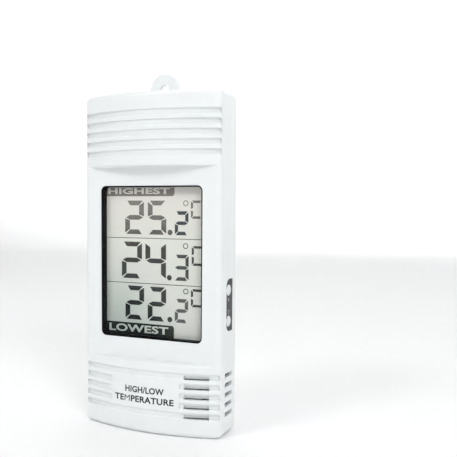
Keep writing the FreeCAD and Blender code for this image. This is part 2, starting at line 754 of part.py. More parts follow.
def make_buttons():
    """Each button has a flange behind the panel and rests on the stem of its own switch."""
    face = "case_width / 2 - button_panel_set_back"
    make_button_panel(face)
    centre_y = behind("button_depth")
    board_face = "switch_board_x + switch_board_thickness"
    start = "button_panel_inner_x - contact_gap - button_flange"
    stem_foot = f"{board_face} + switch_body_length - switch_stem_inset"
    well_foot = f"{board_face} + switch_body_length - switch_well_inset"
    reach, radius, dome = f"{face} - ({start})", "button_radius", "button_dome"
    outline = [("0", "0"), ("button_flange_radius", "0"), ("button_flange_radius", "button_flange"),
               (radius, "button_flange"), (radius, reach), (f"{radius} * 0.8", f"{reach} + {dome} * 0.65"),
               (f"{radius} * 0.45", f"{reach} + {dome} * 0.93"), ("0", f"{reach} + {dome}")]
    half, bore = "switch_side / 2", "switch_stem_radius + part_gap"
    for name, z in BUTTONS.items():
        turned(f"button_{name}", outline, (start, centre_y, z), "x")
        block = box(f"switch_block_{name}", (board_face, f"{board_face} + switch_body_length"),
                    (f"{centre_y} - {half}", f"{centre_y} + {half}"), (f"{z} - {half}", f"{z} + {half}"))
        well = rod(f"switch_well_{name}", bore, (well_foot, centre_y, z), "x", "depth")
        cut(f"switch_body_{name}", block, well)
        rod(f"switch_stem_{name}", "switch_stem_radius", (stem_foot, centre_y, z), "x",
            f"{start} - ({stem_foot})")


def tube(name, radius, points, bend):
    """A round wire along straight runs joined by tangent arcs of one bend radius."""
    here = [Vector(*(size(term) for term in point)) for point in points]
    bend = size(bend)
    edges, last = [], here[0]
    for before, corner, after in zip(here, here[1:], here[2:]):
        into, out = (corner - before).normalize(), (after - corner).normalize()
        half_turn = into.getAngle(out) / 2
        back_off = bend * math.tan(half_turn)
        first, final = corner - into * back_off, corner + out * back_off
        towards = (out - into).normalize()
        middle = corner + towards * (bend / math.cos(half_turn) - bend)
        edges += [Part.makeLine(last, first), Part.Arc(first, middle, final).toShape()]
        last = final
    edges.append(Part.makeLine(last, here[-1]))
    path = Part.Wire(edges)
    ring = Part.Wire(Part.makeCircle(size(radius), here[0], here[1] - here[0]))
    made = doc.addObject("Part::Feature", name)
    made.Shape = path.makePipeShell([ring], True, False)
    filled = made.Shape.Volume / (path.Length * math.pi * size(radius) ** 2)
    print(f"{name}: {path.Length:.1f} mm long, volume {filled:.4f} of section x length")
    return made


def make_cell(start):
    """A size N cell, its positive nub towards +X."""
    sleeve, nub, wide = "cell_length - cell_nub_length", "cell_nub_radius", "cell_radius"
    dish, crimp = f"{wide} - 0.9", f"{wide} - 0.4"
    turned("battery_cell", [("0", "0"), (dish, "0"), (dish, "0.25"), (crimp, "0.25"), (wide, "0.6"),
                            (wide, f"{sleeve} - 0.5"), (f"{wide} - 0.5", sleeve), (nub, sleeve),
                            (nub, "cell_length - 0.3"), (f"{nub} - 0.3", "cell_length"),
                            ("0", "cell_length")],
           (start, behind("cell_depth"), "cell_z"), "x")


def contact_plate(name, x):
    centre_y, half, rise = behind("cell_depth"), "contact_side / 2", "contact_height / 2"
    return box(name, (x, f"{x} + contact_thickness"), (f"{centre_y} - {half}", f"{centre_y} + {half}"),
               (f"cell_z - {rise}", f"cell_z + {rise}"))


def make_spring_contact(cell_start):
    """A plate with a coil that narrows towards the cell's negative end."""
    foot = "-bay_half_length + contact_gap"
    back = contact_plate("spring_plate", foot)
    doc.recompute()
    wire = size("spring_wire")
    root, tip = size(foot) + size("contact_thickness"), size(cell_start)
    rise = tip - root - 2 * wire
    narrowing = -9
    helix = Part.makeHelix(rise / size("spring_turns"), rise, size("spring_radius"), narrowing).Edges[0]
    begin = helix.FirstParameter
    ring = Part.Wire(Part.makeCircle(wire, helix.valueAt(begin), helix.tangentAt(begin)))
    coil = Part.Wire([helix]).makePipeShell([ring], True, True)
    seat = Vector(root + wire, size(behind("cell_depth")), size("cell_z"))
    coil.Placement = FreeCAD.Placement(seat, TURNS["x"])
    spring = doc.addObject("Part::Feature", "battery_spring_contact")
    spring.Shape = Part.makeCompound([back.Shape, coil])


def make_battery_parts():
    plate_x = "bay_half_length - 0.7"
    cell_start = f"{plate_x} - cell_length"
    make_cell(cell_start)
    contact_plate("battery_plate_contact", plate_x)
    make_spring_contact(cell_start)
    on_board = f"{BOARD_BACK} + wire_radius"
    for name, x in WIRES.items():
        tube(f"wire_{name}", "wire_radius",
             [(x, WIRE_Y, "cell_z - contact_height / 2"), (x, WIRE_Y, "board_top + 3.2"),
              (x, on_board, "board_top + 1.4"), (x, on_board, "board_top - wire_landing")], "wire_bend")


def make_sensor():
    y = behind("sensor_depth")
    bead = turned("thermistor_bead", BEAD, ("sensor_x", y, "sensor_z"), "z")
    leads = []
    for i, side in enumerate("-+"):
        x, bend_z = f"sensor_x {side} lead_half_spacing", "board_bottom + lead_rise"
        route = [(x, y, "sensor_z + 1"), (x, y, bend_z), (x, BOARD, bend_z)]
        leads.append(tube(f"lead_{i}", "lead_radius", route, "lead_bend"))
    cut("thermistor_leads", fuse("lead_pair", *leads), bead)


# ---- screws ------------------------------------------------------------------------------

def screw(name, thread, length, head, head_height, place_at):
    """A round-headed screw with a cross recess; its shank runs forward from under the head."""
    x, y, z = place_at
    shape = turned(name + "_form", [("0", f"-({length})"), (f"{thread} - 0.5", f"-({length})"),
                                    (thread, f"-({length}) + 0.8"), (thread, "0"), (head, "0"),
                                    (head, f"{head_height} * 0.45"), (f"{head} * 0.72", head_height),
                                    ("0", head_height)], place_at, "y")
    arm, slot = f"{head} * 0.6", "cross_half_width"
    top = f"{y} + {head_height}"
    deep = (f"{top} - {head_height} * 0.55", f"{top} + 0.1")
    cross = []
    for i, (across, up) in enumerate(((arm, slot), (slot, arm))):
        cross.append(box(f"{name}_slot_{i}", (f"{x} - {across}", f"{x} + {across}"), deep,
                         (f"{z} - {up}", f"{z} + {up}")))
    return cut(name, shape, *cross)


def make_screws():
    fuse("circuit_board_screws", *[
        screw(f"board_screw_{i}", "board_thread", f"{BOARD_BACK} - ({BOARD_TIP})", "board_head_radius",
              "board_head_height", (x, BOARD_BACK, z)) for i, (x, z) in enumerate(BOARD_SCREWS)])
    fuse("case_screws", *[
        screw(f"case_screw_{i}", "case_thread", f"{CASE_SEAT} - ({CASE_TIP})", "case_head_radius",
              "case_head_height", (x, CASE_SEAT, z)) for i, (x, z) in enumerate(CASE_SCREWS)])


# ---- build, test and write ---------------------------------------------------------------

NODES = (
    "front_cover", "rear_cover", "battery_door", "display_bezel", "window_lens",
    "display_polariser", "display_front_glass", "display_rear_glass", "display_reflector",
    "contact_strip_upper", "contact_strip_lower", "main_circuit_board", "chip_cover",
    "surface_mount_parts", "crystal_can", "thermistor_bead", "thermistor_leads",
    "button_panel", "button_upper", "button_lower", "switch_body_upper", "switch_body_lower",
    "switch_stem_upper", "switch_stem_lower", "switch_board", "battery_cell",
    "battery_spring_contact", "battery_plate_contact", "wire_positive", "wire_negative",
    "circuit_board_screws", "case_screws",
)


def main():
    make_front_cover()
    make_rear_cover()
    make_battery_door()
    make_window()
    make_display()
    make_boards()
    make_buttons()
    make_battery_parts()
    make_sensor()
    make_screws()
    doc.recompute()
    failed = [thing.Name for thing in doc.Objects if "Invalid" in thing.State or "Error" in thing.State]
    if failed:
        raise SystemExit(f"failed objects: {failed}")
    for name in NODES:
        node = doc.getObject(name)
        shape = node.Shape
        if shape.isNull() or not shape.isValid() or not shape.Solids:
            raise SystemExit(f"{name} is not a valid solid")
    os.makedirs("parts", exist_ok=True)
    for name in NODES:
        shape = doc.getObject(name).Shape
        shape.exportStep(f"parts/{name}.step")
        print(f"{name}: {len(shape.Solids)} solids, {shape.Volume:.1f} mm3")


main()
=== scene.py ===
import json
import math

import bmesh
import bpy
from mathutils import Euler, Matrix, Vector


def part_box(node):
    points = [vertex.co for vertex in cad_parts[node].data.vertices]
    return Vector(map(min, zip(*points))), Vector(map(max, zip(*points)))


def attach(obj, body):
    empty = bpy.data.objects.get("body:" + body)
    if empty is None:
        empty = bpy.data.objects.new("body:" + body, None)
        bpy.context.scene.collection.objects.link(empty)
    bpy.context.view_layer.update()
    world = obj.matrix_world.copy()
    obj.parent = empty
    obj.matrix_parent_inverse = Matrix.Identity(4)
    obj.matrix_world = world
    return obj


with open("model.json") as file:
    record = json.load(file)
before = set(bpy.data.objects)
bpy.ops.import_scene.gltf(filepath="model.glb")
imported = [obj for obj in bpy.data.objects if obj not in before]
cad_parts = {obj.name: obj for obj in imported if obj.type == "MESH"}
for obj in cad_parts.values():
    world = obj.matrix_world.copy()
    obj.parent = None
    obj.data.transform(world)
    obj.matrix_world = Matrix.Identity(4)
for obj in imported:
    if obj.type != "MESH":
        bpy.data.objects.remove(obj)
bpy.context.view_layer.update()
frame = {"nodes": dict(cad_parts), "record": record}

MM = 0.001
nodes = frame["nodes"]


# ---- places read from the frame ------------------------------------------------------------

FRONT_RADIUS = 103.5 * MM
BULGE_CENTRE_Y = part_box("front_cover")[0][1] + FRONT_RADIUS
DISPLAY_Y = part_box("display_polariser")[0][1]
window_low, window_high = (Vector(corner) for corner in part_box("window_lens"))


def bulge_y(x):
    """The y of the bulged front at x."""
    return BULGE_CENTRE_Y - math.sqrt(FRONT_RADIUS ** 2 - x * x)


# ---- camera, light and floor ---------------------------------------------------------------

CAMERA_PLACE = (139.99 * MM, -254.94 * MM, 99.34 * MM)
CAMERA_TURN = (86.639, -0.455, 22.412)  # degrees about x, y and z
SENSOR_WIDTH = 36
LENS = 50.65
LENS_SHIFT_UP = 0.04
NEAREST_SEEN = 0.01

OBJECT_MIDDLE = (0, 0, 0.08)
# Each light: name, place, where it points, its two sides, its power in watts, and the angle
# that its light opens to, in degrees.
LIGHTS = (
    ("key_light", (-0.38, -0.68, 0.84), OBJECT_MIDDLE, (0.3, 0.3), 2.35, 180),
    ("corner_light", (0.68, -0.66, 0.66), OBJECT_MIDDLE, (0.3, 0.3), 3.5, 180),
    ("top_light", (0.05, -0.05, 1.20), (0, -0.05, 0), (1.2, 0.9), 4.4, 180),
    ("backdrop_light", (-0.3, 0.7, 1.7), (-0.5, 2.1, 0.8), (3.0, 0.6), 23.0, 90),
)
SKY_STRENGTH = 0.335

FLOOR_FLAT_RADIUS = 1.3
FLOOR_FLAT_RINGS = (0.1, 0.4, 0.7, 1.0)  # as parts of the flat radius
FLOOR_TURN_RADIUS = 0.9
FLOOR_WALL_TOP = 1.6
FLOOR_TURN_STEPS = 16
FLOOR_SIDES = 96


def make_camera():
    data = bpy.data.cameras.new("camera")
    data.sensor_width = SENSOR_WIDTH
    data.lens = LENS
    data.shift_y = LENS_SHIFT_UP
    data.clip_start = NEAREST_SEEN
    camera = bpy.data.objects.new("camera", data)
    camera.location = CAMERA_PLACE
    camera.rotation_euler = Euler([math.radians(angle) for angle in CAMERA_TURN])
    bpy.context.scene.collection.objects.link(camera)
    bpy.context.scene.camera = camera


def area_light(name, place, aim, size, power, spread):
    data = bpy.data.lights.new(name, "AREA")
    data.shape = "RECTANGLE"
    data.size, data.size_y = size
    data.energy = power
    data.spread = math.radians(spread)
    light = bpy.data.objects.new(name, data)
    light.location = place
    light.rotation_euler = (Vector(aim) - Vector(place)).to_track_quat("-Z", "Y").to_euler()
    bpy.context.scene.collection.objects.link(light)


def make_studio():
    for light in LIGHTS:
        area_light(*light)
    world = bpy.data.worlds.new("soft_studio")
    world.use_nodes = True
    sky = world.node_tree.nodes["Background"]
    sky.inputs["Color"].default_value = (1, 1, 1, 1)
    sky.inputs["Strength"].default_value = SKY_STRENGTH
    bpy.context.scene.world = world
    bpy.context.scene.view_settings.view_transform = "Standard"
    bpy.context.scene.view_settings.look = "None"

    floor = mesh_piece("studio_floor", *swept_floor(), body=None, smooth=True)
    finish(floor, plain_floor())


def floor_profile():
    """The floor's section from its middle outwards, as (radius, z)."""
    profile = [(FLOOR_FLAT_RADIUS * part, 0.0) for part in FLOOR_FLAT_RINGS]
    for i in range(1, FLOOR_TURN_STEPS + 1):
        angle = math.pi / 2 * i / FLOOR_TURN_STEPS
        profile.append((FLOOR_FLAT_RADIUS + FLOOR_TURN_RADIUS * math.sin(angle),
                        FLOOR_TURN_RADIUS * (1 - math.cos(angle))))
    profile.append((FLOOR_FLAT_RADIUS + FLOOR_TURN_RADIUS, FLOOR_WALL_TOP))
    return profile


def swept_floor():
    """A round floor that turns up into a wall all round, along a quarter circle."""
    profile = floor_profile()
    sides = FLOOR_SIDES
    points, faces = [(0, 0, 0)], []
    for radius, z in profile:
        for k in range(sides):
            angle = 2 * math.pi * k / sides
            points.append((radius * math.cos(angle), radius * math.sin(angle), z))
    for k in range(sides):
        faces.append((0, 1 + k, 1 + (k + 1) % sides))
    for i in range(len(profile) - 1):
        low, high = 1 + i * sides, 1 + (i + 1) * sides
        for k in range(sides):
            after = (k + 1) % sides
            faces.append((low + k, high + k, high + after, low + after))
    return points, faces


# ---- pieces --------------------------------------------------------------------------------

ROUND_STEPS = 28
CORNER_STEPS = 6
CURVE_STEPS = 4
LETTER_SPACING = 1.04
WELD = 1e-5
PRINT_THICKNESS = 0.03 * MM


def mesh_piece(name, points, faces, body="case", smooth=False):
    mesh = bpy.data.meshes.new(name)
    mesh.from_pydata([tuple(point) for point in points], [], faces)
    return object_of(name, mesh, body, smooth)


def object_of(name, mesh, body="case", smooth=False):
    mesh.validate()
    for polygon in mesh.polygons:
        polygon.use_smooth = smooth
    piece = bpy.data.objects.new(name, mesh)
    bpy.context.scene.collection.objects.link(piece)
    if body:
        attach(piece, body)
    return piece


def finish(piece, material):
    piece.data.materials.clear()
    piece.data.materials.append(material)


def prism(outline, front_y, back_y):
    """Points and faces of a thin plate: an outline of (x, z) between two depths."""
    count = len(outline)
    points = [(x, front_y, z) for x, z in outline] + [(x, back_y, z) for x, z in outline]
    faces = [tuple(range(count)), tuple(range(2 * count - 1, count - 1, -1))]
    for i in range(count):
        j = (i + 1) % count
        faces.append((i, i + count, j + count, j))
    return points, faces


def gather(parts):
    """One list of points and faces from several."""
    points, faces = [], []
    for more_points, more_faces in parts:
        start = len(points)
        points += more_points
        faces += [tuple(index + start for index in face) for face in more_faces]
    return points, faces


def facing_out(piece):
    """Make a closed mesh's faces all point outwards."""
    work = bmesh.new()
    work.from_mesh(piece.data)
    bmesh.ops.recalc_face_normals(work, faces=work.faces)
    work.to_mesh(piece.data)
    work.free()
    return piece


def disc_outline(x, z, radius):
    outline = []
    for i in range(ROUND_STEPS):
        angle = 2 * math.pi * i / ROUND_STEPS
        outline.append((x + radius * math.cos(angle), z + radius * math.sin(angle)))
    return outline


def ring(x, z, radius, line, front_y, back_y):
    """Points and faces of a flat ring; line is the width of its stroke."""
    points, faces = [], []
    for y in (front_y, back_y):
        for r in (radius, radius - line):
            points += [(px, y, pz) for px, pz in disc_outline(x, z, r)]
    for i in range(ROUND_STEPS):
        j = (i + 1) % ROUND_STEPS
        front_out, front_in, back_out, back_in = ((i + turn * ROUND_STEPS, j + turn * ROUND_STEPS)
                                                  for turn in range(4))
        faces += [(front_out[0], front_out[1], front_in[1], front_in[0]),
                  (back_out[0], back_in[0], back_in[1], back_out[1]),
                  (front_out[0], back_out[0], back_out[1], front_out[1]),
                  (front_in[0], front_in[1], back_in[1], back_in[0])]
    return points, faces


def rounded_box(x0, x1, z0, z1, radii):
    """An outline of (x, z) with a radius at each corner, from the lower left, anticlockwise."""
    corners = [(x0, z0, 180), (x1, z0, 270), (x1, z1, 0), (x0, z1, 90)]
    outline = []
    for (x, z, start), radius in zip(corners, radii):
        if radius == 0:
            outline.append((x, z))
            continue
        cx = x + radius * (1 if x == x0 else -1)
        cz = z + radius * (1 if z == z0 else -1)
        for i in range(CORNER_STEPS + 1):
            angle = math.radians(start + 90 * i / CORNER_STEPS)
            outline.append((cx + radius * math.cos(angle), cz + radius * math.sin(angle)))
    return outline


def letter_mesh(text, bold):
    """A flat word as a mesh, straight from the built-in font; bold fattens its strokes."""
    curve = bpy.data.curves.new("word", "FONT")
    curve.body = text
    curve.size = 1
    curve.offset = bold
    curve.resolution_u = CURVE_STEPS
    curve.space_character = LETTER_SPACING
    holder = bpy.data.objects.new("word", curve)
    bpy.context.scene.collection.objects.link(holder)
    bpy.context.view_layer.update()
    mesh = bpy.data.meshes.new_from_object(holder)
    bpy.data.objects.remove(holder)
    bpy.data.curves.remove(curve)
    return mesh


def welded(mesh):
    """A mesh opened for editing, with its doubled points joined."""
    work = bmesh.new()
    work.from_mesh(mesh)
    bmesh.ops.remove_doubles(work, verts=work.verts, dist=WELD)
    return work


def letters_of(work):
    """The word's letters, each as a list of the points that are joined together."""
    left = set(work.verts)
    letters = []
    for first in list(work.verts):
        if first not in left:
            continue
        left.discard(first)
        letter, front = [], [first]
        while front:
            vertex = front.pop()
            letter.append(vertex)
            for edge in vertex.link_edges:
                other = edge.other_vert(vertex)
                if other in left:
                    left.discard(other)
                    front.append(other)
        letters.append(letter)
    return letters


def keep_between(work, low, high, inside):
    """Keep only the letters whose middle lies inside (or outside) a stretch of the word."""
    dropped = []
    for letter in letters_of(work):
        xs = [vertex.co.x for vertex in letter]
        middle = (min(xs) + max(xs)) / 2
        if (low < middle < high) != inside:
            dropped += letter
    bmesh.ops.delete(work, geom=dropped, context="VERTS")


def thin_letters_into(work, text, low, high):
    """Put plain letters in place of the bold ones in a stretch of the word."""
    keep_between(work, low, high, inside=False)
    plain_mesh = letter_mesh(text, 0.0)
    plain = welded(plain_mesh)
    keep_between(plain, low, high, inside=True)
    plain.to_mesh(plain_mesh)
    plain.free()
    work.from_mesh(plain_mesh)
    bpy.data.meshes.remove(plain_mesh)


def lettering(text, width, height, bold, fine=None):
    """A thin mesh of a word, its lower left corner at the origin, fitted to a width and height.

    fine is the stretch of the word, as fractions of its length, that keeps its plain strokes."""
    mesh = letter_mesh(text, bold)
    xs = [vertex.co.x for vertex in mesh.vertices]
    ys = [vertex.co.y for vertex in mesh.vertices]
    low, wide = min(xs), max(xs) - min(xs)
    foot, tall = min(ys), max(ys) - min(ys)
    work = welded(mesh)
    if fine:
        start, end = (low + wide * part for part in fine)
        thin_letters_into(work, text, start, end)
    for vertex in work.verts:
        vertex.co = ((vertex.co.x - low) * width / wide, (vertex.co.y - foot) * height / tall, 0)
    made = bmesh.ops.extrude_face_region(work, geom=list(work.faces))
    for item in made["geom"]:
        if isinstance(item, bmesh.types.BMVert):
            item.co.z += PRINT_THICKNESS
    bmesh.ops.recalc_face_normals(work, faces=work.faces)
    work.to_mesh(mesh)
    work.free()
    return mesh


# ---- materials -----------------------------------------------------------------------------

NOISE_LOW, NOISE_HIGH = 0.3, 0.7  # most of a noise texture's values lie between these
PLASTIC_IOR = 1.5
SHEET_IOR = 1.46
DISPLAY_SHINE = 0.15


class Shader:
    """A material whose nodes are added by short calls."""

    def __init__(self, name):
        self.material = bpy.data.materials.new(name)
        self.material.use_nodes = True
        self.tree = self.material.node_tree
        self.surface = self.tree.nodes["Principled BSDF"]
        self.place = self.add("ShaderNodeTexCoord").outputs["Object"]

    def add(self, kind, **settings):
        node = self.tree.nodes.new(kind)
        for key, value in settings.items():
            setattr(node, key, value)
        return node

    def join(self, out, into):
        self.tree.links.new(out, into)

    def set(self, **values):
        for key, value in values.items():
            self.surface.inputs[key.replace("_", " ")].default_value = value

    def noise(self, scale, detail=2.0, rough=0.5, stretch=(1, 1, 1)):
        mapping = self.add("ShaderNodeMapping")
        mapping.inputs["Scale"].default_value = stretch
        self.join(self.place, mapping.inputs["Vector"])
        node = self.add("ShaderNodeTexNoise")
        node.inputs["Scale"].default_value = scale
        node.inputs["Detail"].default_value = detail
        node.inputs["Roughness"].default_value = rough
        self.join(mapping.outputs["Vector"], node.inputs["Vector"])
        return node.outputs["Fac"]

    def ramp(self, factor, stops):
        node = self.add("ShaderNodeValToRGB")
        band = node.color_ramp
        while len(band.elements) < len(stops):
            band.elements.new(0.5)
        for element, (place, colour) in zip(band.elements, stops):
            element.position = place
            element.color = (*colour, 1)
        self.join(factor, node.inputs["Fac"])
        return node.outputs["Color"]

    def spread(self, factor, low, high, from_low=NOISE_LOW, from_high=NOISE_HIGH):
        node = self.add("ShaderNodeMapRange")
        node.inputs["From Min"].default_value = from_low
        node.inputs["From Max"].default_value = from_high
        node.inputs["To Min"].default_value = low
        node.inputs["To Max"].default_value = high
        self.join(factor, node.inputs["Value"])
        return node.outputs["Result"]

    def axis(self, name):
        node = self.add("ShaderNodeSeparateXYZ")
        self.join(self.place, node.inputs["Vector"])
        return node.outputs[name]

    def maths(self, operation, a, b):
        node = self.add("ShaderNodeMath", operation=operation)
        for socket, value in zip(node.inputs, (a, b)):
            if isinstance(value, (int, float)):
                socket.default_value = value
            else:
                self.join(value, socket)
        return node.outputs["Value"]

    def colour(self, out):
        self.join(out, self.surface.inputs["Base Color"])

    def mottled(self, noise, dark, pale):
        """A surface colour that wanders between two along a noise."""
        self.colour(self.ramp(noise, [(NOISE_LOW, dark), (NOISE_HIGH, pale)]))

    def roughness(self, low, high, scale):
        self.join(self.spread(self.noise(scale), low, high), self.surface.inputs["Roughness"])

    def bump(self, height, distance):
        node = self.add("ShaderNodeBump")
        node.inputs["Distance"].default_value = distance
        self.join(height, node.inputs["Height"])
        self.join(node.outputs["Normal"], self.surface.inputs["Normal"])


def shade(colour, factor):
    return tuple(min(1.0, part * factor) for part in colour)


def moulded(name, colour, gloss=(0.26, 0.36), grain=1400, depth=0.004 * MM, mottle=0.012, shine=0.5):
    """Moulded plastic: a fine skin texture, and colour and gloss that vary a little."""
    made = Shader(name)
    made.mottled(made.noise(scale=130, detail=3), shade(colour, 1 - mottle), shade(colour, 1 + mottle))
    made.roughness(*gloss, scale=160)
    made.bump(made.noise(scale=grain, detail=3, rough=0.6), depth)
    made.set(IOR=PLASTIC_IOR, Specular_IOR_Level=shine)
    return made.material


def metal(name, colour, gloss=(0.22, 0.38), stretch=(1, 1, 1)):
    """Plated or drawn metal with fine marks."""
    made = Shader(name)
    marks = made.noise(scale=900, detail=3, rough=0.6, stretch=stretch)
    made.mottled(marks, shade(colour, 0.86), colour)
    made.roughness(*gloss, scale=700)
    made.bump(made.noise(scale=2600, detail=2, rough=0.6, stretch=stretch), 0.003 * MM)
    made.set(Metallic=1.0)
    return made.material


def clear(name, tint, roughness, alpha, shine=0.5):
    """A clear sheet with faint wipe marks in its gloss."""
    made = Shader(name)
    made.mottled(made.noise(scale=30), shade(tint, 0.97), tint)
    wipes = made.noise(scale=120, detail=3, rough=0.6, stretch=(1, 1, 4))
    wiped = roughness * 2.5
    made.join(made.spread(wipes, roughness, wiped), made.surface.inputs["Roughness"])
    made.bump(made.noise(scale=60, detail=1), 0.001 * MM)
    made.set(Alpha=alpha, IOR=SHEET_IOR, Specular_IOR_Level=shine)
    return made.material


def plain_floor():
    made = Shader("floor_paint")
    made.mottled(made.noise(scale=6), (0.94, 0.945, 0.95), (0.955, 0.96, 0.96))
    made.roughness(0.75, 0.85, scale=20)
    made.bump(made.noise(scale=300), 0.02 * MM)
    return made.material


def painted_display_shading(made):
    """0 at the lower left of the display to 1 at the top: painted shading, with a painted shadow at
    the lower left and the paleness that the viewing angle gives the top.
    """
    up = made.spread(made.axis("Z"), 0, 1, window_low.z, window_high.z)
    across = made.axis("X")
    low = made.spread(up, 1, 0, from_low=0.05, from_high=0.65)
    left = made.spread(made.spread(across, 0, 1, window_low.x, window_high.x), 1, 0,
                       from_low=0.2, from_high=0.74)
    shadow = made.maths("MULTIPLY", low, left)
    unshadowed = made.maths("SUBTRACT", 1, shadow)
    return made.maths("MULTIPLY", made.maths("ADD", up, unshadowed), 0.5)


# These ramps run along the painted shading of the display, from its lower left at 0 to its top at 1.
GROUND_TONES = (
    (0.14, (0.525, 0.598, 0.546)),
    (0.36, (0.654, 0.714, 0.654)),
    (0.57, (0.794, 0.809, 0.766)),
    (0.785, (0.855, 0.885, 0.809)),
    (0.97, (0.932, 0.906, 0.846)),
)
LARGE_INK_TONES = (
    (0.25, (0.008, 0.014, 0.014)),
    (0.36, (0.020, 0.027, 0.024)),
    (0.50, (0.055, 0.062, 0.056)),
    (0.65, (0.068, 0.070, 0.063)),
    (0.785, (0.083, 0.080, 0.072)),
    (0.885, (0.195, 0.186, 0.169)),
    (0.965, (0.290, 0.272, 0.242)),
)
SMALL_INK_TONES = (
    (0.52, (0.15, 0.155, 0.15)),
    (0.72, (0.09, 0.10, 0.095)),
    (0.89, (0.085, 0.092, 0.105)),
)


def display_ground():
    """The display's unlit ground, with painted shading: pinkish grey and pale at the top, greener and
    darker at the lower left.
    """
    made = Shader("display_ground")
    grain = made.spread(made.noise(scale=900), -0.02, 0.02)
    made.colour(made.ramp(made.maths("ADD", painted_display_shading(made), grain), GROUND_TONES))
    made.roughness(0.32, 0.42, scale=300)
    made.bump(made.noise(scale=2200), 0.001 * MM)
    made.set(Specular_IOR_Level=DISPLAY_SHINE)
    return made.material


def display_ink(name, tones):
    """Lit segments, with painted shading: pale brown-grey high on the display, almost black low on the
    left.
    """
    made = Shader(name)
    grain = made.spread(made.noise(scale=500), -0.03, 0.03)
    made.colour(made.ramp(made.maths("ADD", painted_display_shading(made), grain), tones))
    made.roughness(0.34, 0.44, scale=400)
    made.bump(made.noise(scale=2600), 0.001 * MM)
    made.set(Specular_IOR_Level=DISPLAY_SHINE)
    return made.material


def circuit_board():
    """Green solder mask over a faint pattern of copper tracks."""
    made = Shader("solder_mask")
    tracks = made.add("ShaderNodeTexBrick")
    tracks.inputs["Scale"].default_value = 90
    tracks.inputs["Mortar Size"].default_value = 0.03
    tracks.inputs["Color1"].default_value = (0.010, 0.075, 0.030, 1)
    tracks.inputs["Color2"].default_value = (0.012, 0.090, 0.036, 1)
    tracks.inputs["Mortar"].default_value = (0.030, 0.150, 0.060, 1)
    turn = made.add("ShaderNodeMapping")
    turn.inputs["Rotation"].default_value = (math.radians(90), 0, 0)
    made.join(made.place, turn.inputs["Vector"])
    made.join(turn.outputs["Vector"], tracks.inputs["Vector"])
    made.colour(tracks.outputs["Color"])
    made.roughness(0.28, 0.42, scale=400)
    made.bump(tracks.outputs["Fac"], 0.02 * MM)
    return made.material


def rubber_layers():
    """An elastomer strip with fine dark conducting layers."""
    made = Shader("contact_rubber_layers")
    wave = made.add("ShaderNodeTexWave")
    wave.inputs["Scale"].default_value = 700
    made.join(made.place, wave.inputs["Vector"])
    made.colour(made.ramp(wave.outputs["Fac"], [(0.4, (0.50, 0.22, 0.20)), (0.6, (0.05, 0.04, 0.04))]))
    made.roughness(0.6, 0.75, scale=500)
    made.bump(made.noise(scale=1500), 0.004 * MM)
    return made.material


# Along the cell: a bare end, the dark sleeve, its pale band, and the other bare end.
SLEEVE_BANDS = (
    (0.0, (0.55, 0.55, 0.56)),
    (0.012, (0.55, 0.55, 0.56)),
    (0.014, (0.02, 0.03, 0.05)),
    (0.70, (0.03, 0.04, 0.07)),
    (0.705, (0.62, 0.60, 0.55)),
    (0.955, (0.66, 0.64, 0.60)),
    (0.965, (0.60, 0.60, 0.60)),
    (1.0, (0.70, 0.70, 0.70)),
)


def cell_sleeve():
    """A plain shrink sleeve with a pale band at the positive end, and bare metal ends."""
    made = Shader("cell_sleeve_print")
    low, high = (corner[0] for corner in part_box("battery_cell"))
    made.colour(made.ramp(made.spread(made.axis("X"), 0, 1, low, high), SLEEVE_BANDS))
    made.roughness(0.22, 0.32, scale=300)
    made.bump(made.noise(scale=900), 0.004 * MM)
    return made.material


def print_ink():
    made = Shader("case_print_ink")
    made.mottled(made.noise(scale=1200, detail=3), (0.012, 0.012, 0.013), (0.030, 0.030, 0.032))
    made.roughness(0.42, 0.58, scale=500)
    made.bump(made.noise(scale=2400), 0.002 * MM)
    return made.material


def plastics():
    """The moulded materials, by material slot."""
    return {
        "case_plastic": moulded("white_case_plastic", (0.84, 0.865, 0.87), gloss=(0.30, 0.40)),
        "black_plastic": moulded("black_frame_plastic", (0.004, 0.0045, 0.005), gloss=(0.34, 0.44),
                                 shine=0.05),
        "reflector_film": moulded("reflector_film_grey", (0.40, 0.39, 0.36), grain=3000),
        "chip_resin": moulded("chip_resin_black", (0.010, 0.010, 0.011), gloss=(0.18, 0.30), grain=500,
                              depth=0.02 * MM),
        "component_ceramic": moulded("component_ceramic", (0.23, 0.16, 0.10), gloss=(0.35, 0.5),
                                     mottle=0.25),
        "sensor_resin": moulded("sensor_resin_black", (0.012, 0.012, 0.013), gloss=(0.12, 0.22)),
        "dark_plastic": moulded("dark_inlay_plastic", (0.040, 0.040, 0.043), gloss=(0.42, 0.56),
                                grain=2200, depth=0.008 * MM, mottle=0.12),
        "button_plastic": moulded("white_button_plastic", (0.78, 0.79, 0.80), gloss=(0.22, 0.30)),
        "switch_plastic": moulded("switch_housing_black", (0.016, 0.016, 0.016), gloss=(0.4, 0.5)),
        "stem_plastic": moulded("switch_stem_natural", (0.42, 0.38, 0.30)),
        "red_insulation": moulded("red_insulation", (0.42, 0.010, 0.012), gloss=(0.25, 0.35)),
        "black_insulation": moulded("black_insulation", (0.010, 0.010, 0.010), gloss=(0.25, 0.35)),
    }


def metals_and_sheets():
    """The other materials, by material slot."""
    return {
        "clear_window": clear("clear_window_sheet", (0.05, 0.055, 0.06), 0.03, 0.05, shine=0.3),
        "polariser_film": display_ground(),
        "display_glass": clear("display_glass_sheet", (0.55, 0.60, 0.58), 0.02, 0.3),
        "contact_rubber": rubber_layers(),
        "circuit_board": circuit_board(),
        "bright_metal": metal("drawn_can_metal", (0.72, 0.72, 0.73)),
        "tinned_wire": metal("tinned_wire_metal", (0.66, 0.66, 0.65)),
        "cell_sleeve": cell_sleeve(),
        "contact_metal": metal("nickel_contact_metal", (0.70, 0.69, 0.66), stretch=(1, 1, 6)),
        "screw_steel": metal("zinc_screw_metal", (0.58, 0.59, 0.61), stretch=(4, 1, 4)),
    }


